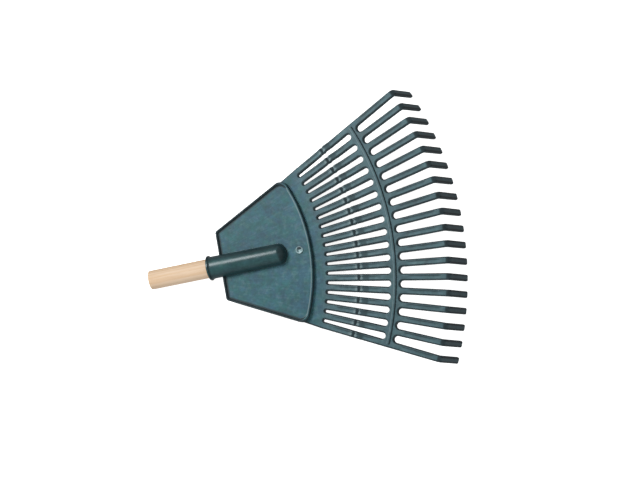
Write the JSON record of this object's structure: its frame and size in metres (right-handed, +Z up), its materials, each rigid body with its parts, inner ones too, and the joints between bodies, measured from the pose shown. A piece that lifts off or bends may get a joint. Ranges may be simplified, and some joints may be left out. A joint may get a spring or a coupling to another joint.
{
  "type": "leaf rake",
  "caption": "Fan-shaped plastic leaf rake head with a slotted web, bent springy tines and a round socket that holds a short length of wooden handle.",
  "frame": {"origin": "middle of the bounding box's bottom face, on the floor the rake lies on", "axes": "+X from the handle towards the tines, +Z up from the floor, +Y to the left when looking along +X; the rake lies on its outer tine tips and the end of its handle"},
  "size_m": [0.4814, 0.4132, 0.0728],
  "materials": {
    "green_plastic": "satin moulded plastic, dark blue-green",
    "pale_wood": "bare turned wood, pale",
    "zinc_steel": "zinc-plated"
  },
  "bodies": {
    "head": {"rake_head": "green_plastic", "handle": "pale_wood", "fixing_screw": "zinc_steel"},
    "tine_01": {"tine_01": "green_plastic"},
    "tine_02": {"tine_02": "green_plastic"},
    "tine_03": {"tine_03": "green_plastic"},
    "tine_04": {"tine_04": "green_plastic"},
    "tine_05": {"tine_05": "green_plastic"},
    "tine_06": {"tine_06": "green_plastic"},
    "tine_07": {"tine_07": "green_plastic"},
    "tine_08": {"tine_08": "green_plastic"},
    "tine_09": {"tine_09": "green_plastic"},
    "tine_10": {"tine_10": "green_plastic"},
    "tine_11": {"tine_11": "green_plastic"},
    "tine_12": {"tine_12": "green_plastic"},
    "tine_13": {"tine_13": "green_plastic"},
    "tine_14": {"tine_14": "green_plastic"},
    "tine_15": {"tine_15": "green_plastic"},
    "tine_16": {"tine_16": "green_plastic"},
    "tine_17": {"tine_17": "green_plastic"},
    "tine_18": {"tine_18": "green_plastic"}
  },
  "joints": [
    {"name": "tine_01_flex", "type": "hinge", "parent": "head", "child": "tine_01", "pos_m": [0.11875, -0.16977, 0.04983], "axis": [0.4296, 0.8987, 0.088], "range_deg": [-10, 10], "stiffness_Nm_per_rad": 3.5},
    {"name": "tine_02_flex", "type": "hinge", "parent": "head", "child": "tine_02", "pos_m": [0.12658, -0.15071, 0.05144], "axis": [0.382, 0.9208, 0.0783], "range_deg": [-10, 10], "stiffness_Nm_per_rad": 3.5},
    {"name": "tine_03_flex", "type": "hinge", "parent": "head", "child": "tine_03", "pos_m": [0.13347, -0.13131, 0.05285], "axis": [0.3333, 0.9403, 0.0683], "range_deg": [-10, 10], "stiffness_Nm_per_rad": 3.5},
    {"name": "tine_04_flex", "type": "hinge", "parent": "head", "child": "tine_04", "pos_m": [0.13939, -0.11161, 0.05406], "axis": [0.2836, 0.9572, 0.0581], "range_deg": [-10, 10], "stiffness_Nm_per_rad": 3.5},
    {"name": "tine_05_flex", "type": "hinge", "parent": "head", "child": "tine_05", "pos_m": [0.14433, -0.09166, 0.05507], "axis": [0.2332, 0.9713, 0.0478], "range_deg": [-10, 10], "stiffness_Nm_per_rad": 3.5},
    {"name": "tine_06_flex", "type": "hinge", "parent": "head", "child": "tine_06", "pos_m": [0.1483, -0.07151, 0.05589], "axis": [0.1821, 0.9826, 0.0373], "range_deg": [-10, 10], "stiffness_Nm_per_rad": 3.5},
    {"name": "tine_07_flex", "type": "hinge", "parent": "head", "child": "tine_07", "pos_m": [0.15128, -0.05119, 0.0565], "axis": [0.1304, 0.9911, 0.0267], "range_deg": [-10, 10], "stiffness_Nm_per_rad": 3.5},
    {"name": "tine_08_flex", "type": "hinge", "parent": "head", "child": "tine_08", "pos_m": [0.15327, -0.03076, 0.05691], "axis": [0.0784, 0.9968, 0.0161], "range_deg": [-10, 10], "stiffness_Nm_per_rad": 3.5},
    {"name": "tine_09_flex", "type": "hinge", "parent": "head", "child": "tine_09", "pos_m": [0.15427, -0.01026, 0.05711], "axis": [0.0262, 0.9996, 0.0054], "range_deg": [-10, 10], "stiffness_Nm_per_rad": 3.5},
    {"name": "tine_10_flex", "type": "hinge", "parent": "head", "child": "tine_10", "pos_m": [0.15427, 0.01026, 0.05711], "axis": [-0.0262, 0.9996, -0.0054], "range_deg": [-10, 10], "stiffness_Nm_per_rad": 3.5},
    {"name": "tine_11_flex", "type": "hinge", "parent": "head", "child": "tine_11", "pos_m": [0.15327, 0.03076, 0.05691], "axis": [-0.0784, 0.9968, -0.0161], "range_deg": [-10, 10], "stiffness_Nm_per_rad": 3.5},
    {"name": "tine_12_flex", "type": "hinge", "parent": "head", "child": "tine_12", "pos_m": [0.15128, 0.05119, 0.0565], "axis": [-0.1304, 0.9911, -0.0267], "range_deg": [-10, 10], "stiffness_Nm_per_rad": 3.5},
    {"name": "tine_13_flex", "type": "hinge", "parent": "head", "child": "tine_13", "pos_m": [0.1483, 0.07151, 0.05589], "axis": [-0.1821, 0.9826, -0.0373], "range_deg": [-10, 10], "stiffness_Nm_per_rad": 3.5},
    {"name": "tine_14_flex", "type": "hinge", "parent": "head", "child": "tine_14", "pos_m": [0.14433, 0.09166, 0.05507], "axis": [-0.2332, 0.9713, -0.0478], "range_deg": [-10, 10], "stiffness_Nm_per_rad": 3.5},
    {"name": "tine_15_flex", "type": "hinge", "parent": "head", "child": "tine_15", "pos_m": [0.13939, 0.11161, 0.05406], "axis": [-0.2836, 0.9572, -0.0581], "range_deg": [-10, 10], "stiffness_Nm_per_rad": 3.5},
    {"name": "tine_16_flex", "type": "hinge", "parent": "head", "child": "tine_16", "pos_m": [0.13347, 0.13131, 0.05285], "axis": [-0.3333, 0.9403, -0.0683], "range_deg": [-10, 10], "stiffness_Nm_per_rad": 3.5},
    {"name": "tine_17_flex", "type": "hinge", "parent": "head", "child": "tine_17", "pos_m": [0.12658, 0.15071, 0.05144], "axis": [-0.382, 0.9208, -0.0783], "range_deg": [-10, 10], "stiffness_Nm_per_rad": 3.5},
    {"name": "tine_18_flex", "type": "hinge", "parent": "head", "child": "tine_18", "pos_m": [0.11875, 0.16977, 0.04983], "axis": [-0.4296, 0.8987, -0.088], "range_deg": [-10, 10], "stiffness_Nm_per_rad": 3.5}
  ]
}
